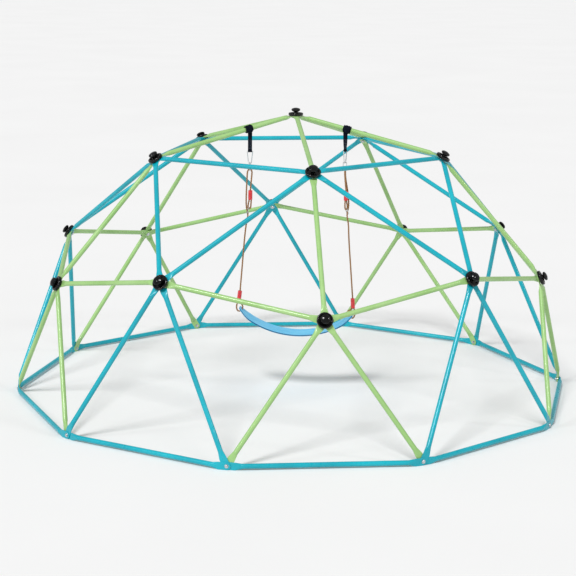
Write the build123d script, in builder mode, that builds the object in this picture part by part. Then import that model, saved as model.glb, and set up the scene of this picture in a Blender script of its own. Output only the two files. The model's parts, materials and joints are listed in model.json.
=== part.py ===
"""Geodesic dome climber with a belt swing.

Sixty-five flattened-end steel tubes bolted at twenty-six nodes make half of a two-frequency
geodesic sphere. A flexible belt seat hangs from two of the crown tubes on webbing slings,
steel links and ropes. The origin is on the ground below the middle of the dome, +Z is up,
and the front of the dome faces -Y. All sizes are millimetres.
"""

from build123d import *

import os
from math import atan2, cos, pi, radians, sin, sqrt, tan

# ---------------------------------------------------------------- dome sizes
LONG_TUBE = 942.0  # bolt to bolt, blue tubes
SHORT_TUBE = 827.0  # bolt to bolt, green tubes
SECTORS = 5
SECTOR_ANGLE = 360 / SECTORS

TUBE_R = 12.5
TUBE_WALL = 1.25
TAB_W = 38.0  # width of a flattened tube end
TAB_T = 2 * TUBE_WALL  # thickness of a flattened tube end
TAB_REACH = 40.0  # bolt centre to the bend where the flat ends
FLARE_L = 36.0  # from the flat to the full round
SLIT_T = 0.5  # height of the bore where the flat closes it
ARC_SPLIT = 30  # the round is cut at this angle each side of the tab's edges

BOLT_R = 4.0
HOLE_R = 4.25

GOLDEN = (1 + sqrt(5)) / 2
DOME_R = GOLDEN * LONG_TUBE  # centre of the sphere to a six-way node
UPPER_R = LONG_TUBE / (2 * sin(radians(SECTOR_ANGLE / 2)))  # radius of the upper ring
UPPER_H = sqrt(DOME_R**2 - UPPER_R**2)  # height of the upper ring above the feet
PEAK_R = UPPER_H + sqrt(SHORT_TUBE**2 - UPPER_R**2)  # centre to a five-way node
PANEL_TILT = atan2(2, 1)  # angle of the side five-way nodes from the vertical
GROUND = TAB_W / 2  # the feet's bolts stand this far above the ground
CENTRE = Vector(0, 0, GROUND)

# ---------------------------------------------------------------- hub sizes
DISC_R = 40.0
DISC_RIM_H = 16.0
DISC_RIM_W = 11.0
DISC_RIM_ROUND = 4.9
DISC_FLOOR = 6.0
DISC_EDGE = 3.0  # bevel round the disc's underside
STEM_R = 12.0
NECK_R = 11.0
CAP_R = 24.0
CAP_Z = 26.0  # underside of the cap above the tabs
CAP_EDGE = 3.0
CAP_ROUND = 6.0
CAP_DOME = 5.0  # how far the cap's middle stands above its edge
KNOB_TOP = 43.0
FLUTES = 8
FLUTE_R = 7.0
FLUTE_DEPTH = 1.6
INSERT_TOP = 34.0  # end of the threaded bore in the knob
WASHER_R = 12.0
WASHER_T = 1.5
HUB_HEAD_R = 9.5
HUB_HEAD_H = 5.0
HUB_SHANK = 44.0
HEAD_ROUND = 0.7  # a button head's round, as a share of its height
FOOT_HEAD_R = 8.0
FOOT_HEAD_H = 4.5
FOOT_SHANK = 23.0
FOOT_WASHER_R = 10.0
NUT_FLATS = 13.0
NUT_H = 6.5

# ---------------------------------------------------------------- swing sizes
HINGE_X = 262.0  # the swing's hinge line crosses the tubes' axes this far to the side
LEFT_X = -256.0  # the tails hang here
RIGHT_X = 262.0
SLING_SHIFT = 8.5  # the wraps sit this much further out than their tails
SLING_W = 48.0
SLING_T = 8.0
TAIL_W = 23.5
TAIL_T = 4.0
TAIL_START = 30.0  # the free tail begins this far below the tube's axis
TAIL_EYE_R = 3.3
RING_BAR_Z = 1342.5
RING_BOTTOM_Z = 1277.0
RING_WIRE_R = 2.75
RING_TOP_HALF = 15.5
RING_BOTTOM_HALF = 7.5
RING_TOP_BEND = 4.5
RING_BOTTOM_BEND = 7.0
HOOK_WIRE_R = 2.5
HOOK_HALF = 9.0
HOOK_BEND = 8.5
HOOK_GAP = 0.6  # play between the hook and the ring it hangs in
GATE_R = 2.2
GATE_PLAY = 0.4
GATE_WEB = 2.4  # thickness of the gate's flat tail
GATE_CHEEK_R = 3.2
GATE_PIN_R = 0.9
GATE_PIN_PLAY = 0.05
GATE_LOW_Z = 1250.5  # gate's pin
GATE_HIGH_Z = 1270.5  # gate's tip
ROPE_R = 4.5
ROPE_TOP_Z = 1245.0  # middle of the rope where it goes over the hook
ARCH_R = 13.0
FERRULE_R = 11.5
FERRULE_ROUND = 2.5
LINK_WIRE_R = 1.75
LINK_HALF = 7.5
LINK_BEND = 6.5
SEAT_W = 147.0
SEAT_T = 8.0
SEAT_ARC = 495.0  # the belt's middle hangs in this radius
SEAT_END_ARC = 273.0  # and its ends turn up in this one
SEAT_ARC_ANGLE = 27.5
SEAT_END_ANGLE = 47.0
SEAT_TURN = 8.0  # the seat hangs turned, its left end to the back
LEFT_LEAN = 0.0526  # so the ropes lean this much, back on the left
RIGHT_LEAN = -0.0525
SEAT_TIP = 16.0  # rope hole to the end of the belt
SEAT_TIP_W = 52.0
SEAT_SHOULDER = 62.0  # length over which the belt's end widens
SEAT_HOLE_R = 6.5
SEAT_SLOT = 7.0
SEAT_LOW_X = -3.0
SEAT_LOW_Z = 334.0
SEAT_TILT = -2.9  # the left end hangs higher than the right
SEAT_CORNER = 22.0

os.makedirs("parts", exist_ok=True)


def export_node(name, solids):
    """Write one node, a single solid or several separate ones."""
    node = solids[0] if len(solids) == 1 else Compound(children=solids)
    node.label = name
    export_step(node, f"parts/{name}.step")


# ---------------------------------------------------------------- dome nodes
def dome_point(radius, height, azimuth):
    turn = radians(azimuth)
    return CENTRE + Vector(radius * sin(turn), -radius * cos(turn), height)


PEAK = dome_point(0, PEAK_R, 0)


def upper(i):
    return dome_point(UPPER_R, UPPER_H, SECTOR_ANGLE * i)


def panel(i):
    return dome_point(PEAK_R * sin(PANEL_TILT), PEAK_R * cos(PANEL_TILT), SECTOR_ANGLE * i)


def side(i):
    return dome_point(UPPER_H, UPPER_R, SECTOR_ANGLE * (i + 0.5))


def foot(j):
    return dome_point(DOME_R, 0, SECTOR_ANGLE * (j + 0.5) / 2)


# ---------------------------------------------------------------- tubes
def tube_end(node, other, level):
    """Bolt point, outward normal, direction of the tab and bend point of one tube end."""
    normal = (node - CENTRE).normalized()
    chord = other - node
    lead = (chord - normal * chord.dot(normal)).normalized()
    bolt = node + normal * level * TAB_T
    return bolt, normal, lead, bolt + lead * TAB_REACH


def flare_sections(bend, across, lead, along, flat, radius):
    """The two ends of a flare: the flat at the bend and a round of four matching arcs."""
    flat_plane = Plane(bend, x_dir=across, z_dir=lead)
    round_plane = Plane(bend + along * FLARE_L, x_dir=across, z_dir=along)
    corners = (-ARC_SPLIT, ARC_SPLIT, 180 - ARC_SPLIT, 180 + ARC_SPLIT, 360 - ARC_SPLIT)
    arcs = [
        Edge.make_circle(radius, round_plane, start_angle=start, end_angle=end)
        for start, end in zip(corners, corners[1:])
    ]
    return [Face.make_rect(*flat, flat_plane), Face(Wire(arcs))]


def make_tube(start, end, start_level, end_level):
    """A tube with both ends pressed flat, bent to lie on their nodes and drilled."""
    first = tube_end(start, end, start_level)
    last = tube_end(end, start, end_level)
    axis = (last[3] - first[3]).normalized()
    across = first[1].cross(first[2])
    with BuildPart() as tube:
        for (bolt, normal, lead, bend), along in ((first, axis), (last, -axis)):
            with BuildSketch(Plane(bolt, x_dir=lead, z_dir=normal)):
                Circle(TAB_W / 2)
                with Locations((TAB_REACH / 2, 0)):
                    Rectangle(TAB_REACH, TAB_W)
                Circle(HOLE_R, mode=Mode.SUBTRACT)
            extrude(amount=TAB_T / 2, both=True)
            loft(
                flare_sections(bend, across, lead, along, (TAB_W, TAB_T), TUBE_R),
                ruled=True,
            )
        length = (last[3] - first[3]).length - 2 * FLARE_L
        shaft = Plane(first[3] + axis * FLARE_L, x_dir=across, z_dir=axis)
        with BuildSketch(shaft):
            Circle(TUBE_R)
        extrude(amount=length)
        for (bolt, normal, lead, bend), along in ((first, axis), (last, -axis)):
            bore = (TAB_W - 2 * TUBE_WALL, SLIT_T)
            loft(
                flare_sections(bend, across, lead, along, bore, TUBE_R - TUBE_WALL),
                ruled=True,
                mode=Mode.SUBTRACT,
            )
        with BuildSketch(shaft):
            Circle(TUBE_R - TUBE_WALL)
        extrude(amount=length, mode=Mode.SUBTRACT)
    return tube.part.solid()


def around(solid, i):
    """The same piece in sector i."""
    return solid.rotate(Axis.Z, SECTOR_ANGLE * i)


# A level is the place of a tab in the stack on its bolt, counted outwards in tab thicknesses.
CROWN_LEVELS = (2, 0, -2, -1, 1)
for i in range(SECTORS):
    export_node(f"crown_tube_{i + 1}", [make_tube(PEAK, upper(i), CROWN_LEVELS[i], 2.5)])

ring_tube = make_tube(upper(0), upper(1), 1.5, -0.5)
export_node("upper_ring_tubes", [around(ring_tube, i) for i in range(SECTORS)])
rib_tube = make_tube(upper(0), panel(0), -2.5, 2)
export_node("rib_tubes", [around(rib_tube, i) for i in range(SECTORS)])

PAIRS = {
    "upper_brace_pair": (
        (upper(0), side(0), 0.5, 2.5),
        (upper(1), side(0), -1.5, -0.5),
    ),
    "side_brace_pair": (
        (panel(0), side(0), 0, 1.5),
        (panel(1), side(0), -2, -1.5),
    ),
    "green_leg_pair": (
        (panel(0), foot(-1), -1, -1.5),
        (panel(0), foot(0), 1, -1.5),
    ),
    "blue_leg_pair": (
        (side(0), foot(0), 0.5, 0.5),
        (side(0), foot(1), -2.5, 0.5),
    ),
}
for name, pair in PAIRS.items():
    tubes = [make_tube(*ends) for ends in pair]
    for i in range(SECTORS):
        export_node(f"{name}_{i + 1}", [around(tube, i) for tube in tubes])

base_tubes = [make_tube(foot(j), foot(j + 1), -0.5, 1.5) for j in range(2)]
export_node("base_ring_tubes", [around(t, i) for i in range(SECTORS) for t in base_tubes])

# ---------------------------------------------------------------- hubs
HUBS = [(PEAK, 5)]
HUBS += [(upper(i), 6) for i in range(SECTORS)]
HUBS += [(panel(i), 5) for i in range(SECTORS)]
HUBS += [(side(i), 6) for i in range(SECTORS)]
FEET = [(foot(j), 4) for j in range(2 * SECTORS)]


def on_node(solid, node, height):
    """A piece of hardware, made standing on +Z, placed at a height along a node's normal."""
    normal = (node - CENTRE).normalized()
    x_dir = Vector(0, 1, 0) if abs(normal.Z) > 1 - 1e-6 else Vector(0, 0, 1).cross(normal)
    return solid.moved(Plane(node + normal * height, x_dir=x_dir, z_dir=normal).location)


def stack(tabs):
    """Half the thickness of the tabs on one bolt."""
    return tabs * TAB_T / 2


with BuildPart() as hub_disc:
    with BuildSketch(Plane.XZ):
        with BuildLine():
            Polyline(
                (HOLE_R, 0),
                (DISC_R - DISC_EDGE, 0),
                (DISC_R, DISC_EDGE),
                (DISC_R, DISC_RIM_H),
                (DISC_R - DISC_RIM_W, DISC_RIM_H),
                (DISC_R - DISC_RIM_W, DISC_FLOOR),
                (HOLE_R, DISC_FLOOR),
                close=True,
            )
        make_face()
    revolve(axis=Axis.Z)
    rim = hub_disc.edges().filter_by(GeomType.CIRCLE).group_by(Axis.Z)[-1]
    fillet(rim, radius=DISC_RIM_ROUND)

with BuildPart() as hub_knob:
    with BuildSketch(Plane.XZ):
        with BuildLine():
            outline = Polyline(
                (0, KNOB_TOP),
                (0, DISC_FLOOR),
                (STEM_R, DISC_FLOOR),
                (NECK_R, CAP_Z - CAP_ROUND),
                (CAP_R - CAP_EDGE, CAP_Z),
                (CAP_R, CAP_Z + CAP_EDGE),
                (CAP_R, KNOB_TOP - CAP_DOME - CAP_EDGE),
                (CAP_R - CAP_EDGE, KNOB_TOP - CAP_DOME),
            )
            TangentArc(outline @ 0, outline @ 1, tangent=(1, 0))
        make_face()
    revolve(axis=Axis.Z)
    with BuildSketch(Plane.XY.offset(CAP_Z)):
        with PolarLocations(CAP_R + FLUTE_R - FLUTE_DEPTH, FLUTES):
            Circle(FLUTE_R)
    extrude(amount=KNOB_TOP - CAP_Z, mode=Mode.SUBTRACT)
    with BuildSketch(Plane.XY.offset(DISC_FLOOR)):
        Circle(HOLE_R)
    extrude(amount=INSERT_TOP - DISC_FLOOR, mode=Mode.SUBTRACT)

with BuildPart() as hub_washer:
    with BuildSketch(Plane.XY.offset(-WASHER_T)):
        Circle(WASHER_R)
        Circle(HOLE_R, mode=Mode.SUBTRACT)
    extrude(amount=WASHER_T)

with BuildPart() as hub_bolt:
    with BuildSketch(Plane.XY.offset(-HUB_HEAD_H)):
        Circle(HUB_HEAD_R)
    extrude(amount=HUB_HEAD_H)
    fillet(hub_bolt.edges().group_by(Axis.Z)[0], radius=HEAD_ROUND * HUB_HEAD_H)
    with BuildSketch(Plane.XY):
        Circle(BOLT_R)
    extrude(amount=HUB_SHANK)

with BuildPart() as foot_washer:
    with BuildSketch(Plane.XY):
        Circle(FOOT_WASHER_R)
        Circle(HOLE_R, mode=Mode.SUBTRACT)
    extrude(amount=WASHER_T)

with BuildPart() as foot_bolt:
    with BuildSketch(Plane.XY):
        Circle(FOOT_HEAD_R)
    extrude(amount=FOOT_HEAD_H)
    fillet(foot_bolt.edges().group_by(Axis.Z)[-1], radius=HEAD_ROUND * FOOT_HEAD_H)
    with BuildSketch(Plane.XY.offset(-FOOT_SHANK)):
        Circle(BOLT_R)
    extrude(amount=FOOT_SHANK)

with BuildPart() as foot_nut:
    with BuildSketch(Plane.XY.offset(-NUT_H)):
        RegularPolygon(radius=NUT_FLATS / 2, side_count=6, major_radius=False)
        Circle(BOLT_R, mode=Mode.SUBTRACT)
    extrude(amount=NUT_H)

export_node("hub_discs", [on_node(hub_disc.part.solid(), n, stack(t)) for n, t in HUBS])
export_node("hub_knobs", [on_node(hub_knob.part.solid(), n, stack(t)) for n, t in HUBS])
export_node("hub_washers", [on_node(hub_washer.part.solid(), n, -stack(t)) for n, t in HUBS])
export_node(
    "hub_bolts",
    [on_node(hub_bolt.part.solid(), n, -stack(t) - WASHER_T) for n, t in HUBS],
)
export_node(
    "foot_bolts",
    [on_node(foot_bolt.part.solid(), n, stack(t) + WASHER_T) for n, t in FEET],
)
export_node(
    "foot_washers",
    [on_node(foot_washer.part.solid(), n, stack(t)) for n, t in FEET]
    + [on_node(foot_washer.part.solid(), n, -stack(t) - WASHER_T) for n, t in FEET],
)
export_node(
    "foot_nuts",
    [on_node(foot_nut.part.solid(), n, -stack(t) - WASHER_T) for n, t in FEET],
)


# ---------------------------------------------------------------- swing
def hang_point(i, aside):
    """A point on the axis of crown tube i, so far to the side, and the tube's direction."""
    near = tube_end(PEAK, upper(i), CROWN_LEVELS[i])[3]
    far = tube_end(upper(i), PEAK, 2.5)[3]
    axis = far - near
    along = (aside - abs(near.X)) / abs(axis.X)
    return near + axis * along, axis.normalized()


hinge_ends = [hang_point(i, HINGE_X)[0] for i in (1, 4)]
SWING_Y = hinge_ends[0].Y
SWING_Z = (hinge_ends[0].Z + hinge_ends[1].Z) / 2
print("hinge of the swing: y", round(SWING_Y, 2), "z", round(SWING_Z, 2))


def upright(x, turn):
    """A vertical plane through the hanging line: its x runs at an angle from +X, its y up."""
    direction = Vector(cos(radians(turn)), sin(radians(turn)), 0)
    return Plane((x, SWING_Y, 0), x_dir=direction, z_dir=direction.cross(Vector(0, 0, 1)))


def wire_loop(plane, points, radii, wire_r):
    """A closed loop of round wire through the corners given in a plane."""
    route = [plane.from_local_coords(Vector(*p, 0)) for p in points]
    with BuildPart() as loop:
        with BuildLine() as path:
            FilletPolyline(*route, radius=radii, close=True)
        start = path.wires()[0] @ 0
        with BuildSketch(Plane(start, z_dir=path.wires()[0] % 0)):
            Circle(wire_r)
        sweep(path=path.wires()[0])
    return loop.part.solid()


def arc_radii(points, given):
    """Each corner's radius: as large as its two runs allow, unless a thing gives its size."""
    radii = []
    for k in range(1, len(points) - 1):
        back = points[k] - points[k - 1]
        ahead = points[k + 1] - points[k]
        turn = radians(back.get_angle(ahead))
        radii.append(given.get(k, 0.45 * min(back.length, ahead.length) / tan(turn / 2)))
    return radii


def make_rope(name, points, given=None):
    """A round rope along straight runs joined by arcs, with square ends."""
    route = [Vector(*p) for p in points]
    radii = arc_radii(route, given or {})
    with BuildPart() as rope:
        with BuildLine() as path:
            FilletPolyline(*route, radius=radii)
        with BuildSketch(Plane(route[0], z_dir=route[1] - route[0])):
            Circle(ROPE_R)
        sweep(path=path.wires()[0])
    length = path.wires()[0].length
    share = rope.part.volume / (pi * ROPE_R**2 * length)
    print(name, "length", round(length), "volume share", round(share, 4))
    print("   radii", [round(r, 1) for r in radii])
    export_node(name, [rope.part.solid()])


def make_ferrule(name, top, bottom):
    """A red plastic sleeve crimped on the rope between two points of its axis."""
    with BuildPart() as ferrule:
        with BuildSketch(Plane(bottom, z_dir=top - bottom)):
            Circle(FERRULE_R)
        extrude(amount=(top - bottom).length)
        fillet(ferrule.edges().filter_by(GeomType.CIRCLE), radius=FERRULE_ROUND)
    export_node(name, [ferrule.part.solid()])


def make_sling(name, hang, direction):
    """The part of the webbing sling that is hitched round its tube."""
    with BuildPart() as wrap:
        with BuildSketch(Plane(hang, z_dir=direction)):
            Circle(TUBE_R + SLING_T)
            Circle(TUBE_R, mode=Mode.SUBTRACT)
        extrude(amount=SLING_W / 2, both=True)
    export_node(name, [wrap.part.solid()])


def make_tail(name, x, turn):
    """The sling's free tail, turned to the steel ring in the eye sewn at its end."""
    eye_r = TAIL_EYE_R + TAIL_T / 2
    with BuildPart() as tail:
        with BuildSketch(Plane((x, SWING_Y, SWING_Z - TAIL_START), z_dir=(0, 0, -1))):
            Rectangle(TAIL_W, TAIL_T)
        with BuildSketch(Plane((x, SWING_Y, RING_BAR_Z + 2 * eye_r), z_dir=(0, 0, -1))) as turned:
            Rectangle(TAIL_W, TAIL_T, rotation=-turn)
        loft()
        extrude(turned.sketch, amount=2 * eye_r)
        eye_plane = Plane((x, SWING_Y, RING_BAR_Z), z_dir=upright(x, turn).x_dir)
        with BuildSketch(eye_plane):
            Circle(eye_r)
        extrude(amount=TAIL_W / 2, both=True)
        with BuildSketch(eye_plane):
            Circle(TAIL_EYE_R)
        extrude(amount=TAIL_W, both=True, mode=Mode.SUBTRACT)
    export_node(name, [tail.part.solid()])


def make_ring(name, x, turn):
    """The triangular steel ring: a bar in the sling's eye and a narrow lower end."""
    points = [
        (RING_TOP_HALF, RING_BAR_Z),
        (RING_BOTTOM_HALF, RING_BOTTOM_Z),
        (-RING_BOTTOM_HALF, RING_BOTTOM_Z),
        (-RING_TOP_HALF, RING_BAR_Z),
    ]
    radii = [RING_TOP_BEND, RING_BOTTOM_BEND, RING_BOTTOM_BEND, RING_TOP_BEND]
    export_node(name, [wire_loop(upright(x, turn), points, radii, RING_WIRE_R)])


HOOK_TOP_Z = RING_BOTTOM_Z + RING_WIRE_R + HOOK_WIRE_R + HOOK_GAP
HOOK_BOTTOM_Z = ROPE_TOP_Z - ROPE_R - HOOK_WIRE_R - GATE_PLAY / 2


def make_hook(side_name, x, turn):
    """The snap hook: an open loop of wire, its sprung gate and the gate's pin."""
    plane = upright(x, turn)
    low = GATE_LOW_Z - GATE_CHEEK_R - GATE_PLAY
    points = [
        (HOOK_HALF, GATE_HIGH_Z + GATE_PLAY),
        (HOOK_HALF, HOOK_TOP_Z),
        (-HOOK_HALF, HOOK_TOP_Z),
        (-HOOK_HALF, HOOK_BOTTOM_Z),
        (HOOK_HALF, HOOK_BOTTOM_Z),
        (HOOK_HALF, low),
    ]
    route = [plane.from_local_coords(Vector(*p, 0)) for p in points]
    pin_at = plane.from_local_coords(Vector(HOOK_HALF, GATE_LOW_Z, 0))
    across = Plane(pin_at, x_dir=plane.x_dir, z_dir=plane.z_dir)
    with BuildPart() as hook:
        with BuildLine() as path:
            FilletPolyline(*route, radius=HOOK_BEND)
        with BuildSketch(Plane(route[0], z_dir=route[1] - route[0])):
            Circle(HOOK_WIRE_R)
        sweep(path=path.wires()[0])
        with BuildSketch(across):
            Circle(GATE_CHEEK_R)
            with Locations((0, -GATE_CHEEK_R)):
                Rectangle(2 * HOOK_WIRE_R, 2 * GATE_CHEEK_R)
        extrude(amount=HOOK_WIRE_R, both=True)
        with BuildSketch(across):
            Rectangle(4 * GATE_CHEEK_R, 2 * (GATE_CHEEK_R + GATE_PLAY))
        extrude(amount=GATE_WEB / 2 + GATE_PLAY / 2, both=True, mode=Mode.SUBTRACT)
        with BuildSketch(across):
            Circle(GATE_PIN_R)
        extrude(amount=HOOK_WIRE_R, both=True, mode=Mode.SUBTRACT)
    with BuildPart() as pin:
        with BuildSketch(across):
            Circle(GATE_PIN_R)
        extrude(amount=HOOK_WIRE_R, both=True)
    top_z = GATE_LOW_Z + GATE_CHEEK_R + GATE_PLAY
    shoulder = Plane(
        plane.from_local_coords(Vector(HOOK_HALF, top_z, 0)), x_dir=plane.x_dir, z_dir=(0, 0, 1)
    )
    with BuildPart() as gate:
        with BuildSketch(shoulder):
            Circle(GATE_R)
        extrude(amount=GATE_HIGH_Z - top_z)
        with BuildSketch(across):
            Circle(GATE_R)
            with Locations((0, GATE_CHEEK_R / 2 + GATE_PLAY)):
                Rectangle(2 * GATE_R, GATE_CHEEK_R + 2 * GATE_PLAY)
        extrude(amount=GATE_WEB / 2, both=True)
        with BuildSketch(across):
            Circle(GATE_PIN_R + GATE_PIN_PLAY)
        extrude(amount=GATE_R, both=True, mode=Mode.SUBTRACT)
    export_node(f"snap_hook_{side_name}", [hook.part.solid()])
    export_node(f"gate_pin_{side_name}", [pin.part.solid()])
    export_node(f"hook_gate_{side_name}", [gate.part.solid()])


def make_link(name, top, bottom, width_dir):
    """The oval steel link that grips the rope: its length runs from top to bottom."""
    down = bottom - top
    flat = width_dir.cross(down)
    plane = Plane(top, x_dir=down.cross(flat), z_dir=flat)
    drop = plane.to_local_coords(bottom).Y
    points = [(LINK_HALF, 0), (LINK_HALF, drop), (-LINK_HALF, drop), (-LINK_HALF, 0)]
    export_node(name, [wire_loop(plane, points, [LINK_BEND] * 4, LINK_WIRE_R)])


RIGHT_RING_TURN = 50.0
make_sling("sling_wrap_left", *hang_point(4, SLING_SHIFT - LEFT_X))
make_sling("sling_wrap_right", *hang_point(1, SLING_SHIFT + RIGHT_X))
make_tail("sling_tail_left", LEFT_X, 0)
make_tail("sling_tail_right", RIGHT_X, RIGHT_RING_TURN)
make_ring("triangle_ring_left", LEFT_X, 0)
make_ring("triangle_ring_right", RIGHT_X, RIGHT_RING_TURN)
make_hook("left", LEFT_X, 90)
make_hook("right", RIGHT_X, -15)

# Ropes: each main rope runs from the lower ferrule up through the adjuster link, over the
# snap hook and down into the upper ferrule. The rope's end makes an eye below that ferrule,
# and below the lower ferrule a loop goes round the end of the belt and through its hole.


def leaned(lean, place):
    """A place on a rope that hangs upright, moved to where the leaning rope has it."""
    x, y, z = place
    return Vector(x, y + lean * (ROPE_TOP_Z - z), z)


Y = SWING_Y
LEFT_ROPE = [
    (-304.0, Y, 567.0),
    (-295.5, Y, 680.0),
    (-277.2, Y, 930.0),
    (-261.5, Y, 994.0),
    (-274.4, Y, 1034.0),
    (-275.0, Y, 1100.0),
    (-269.2, Y, ROPE_TOP_Z),
    (-242.8, Y, ROPE_TOP_Z),
    (-252.5, Y, 1129.0),
]
LEFT_EYE = [
    (-257.7, Y, 1078.0),
    (-264.3, Y, 1054.0),
    (-264.4, Y, 1028.0),
    (-250.4, Y, 1028.0),
    (-248.4, Y, 1052.0),
    (-247.3, Y, 1078.0),
]
LEFT_LOOP = [
    (-315.7, Y, 513.0),
    (-321.8, Y, 489.0),
    (-323.5, Y, 468.0),
    (-317.0, Y, 452.5),
    (-303.5, Y, 449.5),
    (-287.0, Y, 467.5),
    (-291.5, Y, 487.0),
    (-305.3, Y, 511.8),
]
RIGHT_ROPE = [
    (312.0, Y, 532.0),
    (300.5, Y, 690.0),
    (287.0, Y, 868.0),
    (285.5, Y + 0.5, 945.0),
    (273.5, Y - 2.0, 994.0),
    (289.0, Y + 11.5, 1042.0),
    (281.5, Y + 12.5, 1120.0),
    (267.4, Y + 12.6, 1195.0),
    (266.4, Y + 12.8, ROPE_TOP_Z),
    (259.6, Y - 12.8, ROPE_TOP_Z),
    (261.5, Y - 11.5, 1190.0),
    (269.3, Y - 6.9, 1124.0),
]
RIGHT_EYE = [
    (263.8, Y - 10.6, 1073.0),
    (262.0, Y - 11.4, 1049.0),
    (264.5, Y - 9.5, 1024.0),
    (276.0, Y - 1.0, 1022.5),
    (278.5, Y + 0.0, 1046.0),
    (271.2, Y - 3.2, 1073.0),
]
RIGHT_LOOP = [
    (319.7, Y, 477.2),
    (324.5, Y, 460.0),
    (326.0, Y, 442.0),
    (321.0, Y, 427.0),
    (309.5, Y, 418.0),
    (291.0, Y, 439.0),
    (281.0, Y, 450.0),
    (287.5, Y, 461.0),
    (302.0, Y, 467.5),
    (309.3, Y, 476.8),
]
LEFT_FERRULES = {
    "upper": (Vector(*LEFT_ROPE[-1]), Vector(-252.5, Y, 1078.0)),
    "lower": (Vector(*LEFT_ROPE[0]), Vector(-310.5, Y, 512.4)),
}
RIGHT_FERRULES = {
    "upper": (Vector(*RIGHT_ROPE[-1]), Vector(267.5, Y - 6.9, 1073.0)),
    "lower": (Vector(*RIGHT_ROPE[0]), Vector(314.5, Y, 477.0)),
}
LEFT_LINK = (Vector(-257.2, Y, 1034.8), Vector(-272.0, Y, 1001.2), Vector(0, 1, 0))
RIGHT_LINK = (
    Vector(270.2, Y - 4.6, 1030.0),
    Vector(282.2, Y + 5.9, 997.0),
    Vector(7, -10, 0).normalized(),
)
for hand, lean, rope, eye, loop, ferrules, link in (
    ("left", LEFT_LEAN, LEFT_ROPE, LEFT_EYE, LEFT_LOOP, LEFT_FERRULES, LEFT_LINK),
    ("right", RIGHT_LEAN, RIGHT_ROPE, RIGHT_EYE, RIGHT_LOOP, RIGHT_FERRULES, RIGHT_LINK),
):
    over_hook = [k for k, place in enumerate(rope) if place[2] == ROPE_TOP_Z]
    make_rope(f"rope_{hand}", [leaned(lean, p) for p in rope], dict.fromkeys(over_hook, ARCH_R))
    make_rope(f"rope_eye_{hand}", [leaned(lean, p) for p in eye])
    make_rope(f"seat_loop_{hand}", [leaned(lean, p) for p in loop])
    for place, (top, bottom) in ferrules.items():
        make_ferrule(f"{place}_ferrule_{hand}", leaned(lean, top), leaned(lean, bottom))
    make_link(f"adjuster_link_{hand}", leaned(lean, link[0]), leaned(lean, link[1]), link[2])

# ---------------------------------------------------------------- seat
tilt = radians(SEAT_TILT)
turn = radians(SEAT_TURN)
seat_plane = Plane(
    (SEAT_LOW_X, SWING_Y, SEAT_LOW_Z),
    x_dir=(cos(tilt) * cos(turn), -cos(tilt) * sin(turn), sin(tilt)),
    z_dir=(-sin(turn), -cos(turn), 0),
)
turn_up = radians(SEAT_ARC_ANGLE)
turn_end = radians(SEAT_END_ANGLE)
end_centre = (
    (SEAT_ARC - SEAT_END_ARC) * sin(turn_up),
    SEAT_ARC - (SEAT_ARC - SEAT_END_ARC) * cos(turn_up),
)
hole = Vector(
    end_centre[0] + SEAT_END_ARC * sin(turn_end), end_centre[1] - SEAT_END_ARC * cos(turn_end)
)
lead_out = Vector(cos(turn_end), sin(turn_end))
tip = hole + lead_out * SEAT_TIP
end_sweep = SEAT_END_ANGLE - SEAT_ARC_ANGLE


def belt_line(proud):
    """One face of the belt, seen from its edge, at a distance below the middle line."""
    skin = Vector(sin(turn_end), -cos(turn_end)) * proud
    ends = [hole + skin, tip + skin]
    CenterArc((0, SEAT_ARC), SEAT_ARC + proud, -90 - SEAT_ARC_ANGLE, 2 * SEAT_ARC_ANGLE)
    CenterArc(end_centre, SEAT_END_ARC + proud, -90 + SEAT_ARC_ANGLE, end_sweep)
    CenterArc((-end_centre[0], end_centre[1]), SEAT_END_ARC + proud, -90 - SEAT_END_ANGLE, end_sweep)
    Line(*ends)
    Line(*[Vector(-p.X, p.Y) for p in ends])
    return ends[1]


half_w = SEAT_W / 2
half_l = tip.X + SEAT_T
with BuildPart() as seat:
    with BuildSketch(seat_plane):
        with BuildLine():
            below = belt_line(SEAT_T / 2)
            above = belt_line(-SEAT_T / 2)
            Line(below, above)
            Line(Vector(-below.X, below.Y), Vector(-above.X, above.Y))
        make_face()
    extrude(amount=half_w, both=True)
    flat_plane = Plane(seat_plane.origin, x_dir=seat_plane.x_dir, z_dir=seat_plane.y_dir)
    with BuildSketch(flat_plane) as belt_outline:
        with BuildLine():
            Polyline(
                (-half_l, -SEAT_TIP_W / 2),
                (-half_l + SEAT_SHOULDER, -half_w),
                (half_l - SEAT_SHOULDER, -half_w),
                (half_l, -SEAT_TIP_W / 2),
                (half_l, SEAT_TIP_W / 2),
                (half_l - SEAT_SHOULDER, half_w),
                (-half_l + SEAT_SHOULDER, half_w),
                (-half_l, SEAT_TIP_W / 2),
                close=True,
            )
        make_face()
        fillet(belt_outline.vertices(), radius=SEAT_CORNER)
    extrude(amount=2 * tip.Y, both=True, mode=Mode.INTERSECT)
    for end in (-1, 1):
        at = seat_plane.from_local_coords(Vector(end * hole.X, hole.Y))
        along = seat_plane.from_local_coords(Vector(end * tip.X, tip.Y)) - at
        with BuildSketch(Plane(at, x_dir=along, z_dir=seat_plane.z_dir.cross(along))):
            SlotCenterToCenter(SEAT_SLOT, 2 * SEAT_HOLE_R)
        extrude(amount=2 * SEAT_T, both=True, mode=Mode.SUBTRACT)
        print("rope hole", [round(c, 1) for c in at])
export_node("belt_seat", [seat.part.solid()])
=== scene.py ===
"""The looks of the dome climber with a belt swing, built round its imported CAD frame.

Everything is in metres, with the ground at z = 0 and the front of the dome facing -Y.
"""

import json
from math import atan2, cos, pi, radians, sin, sqrt

import bpy
from mathutils import Matrix, Vector
from mathutils.noise import noise


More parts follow.
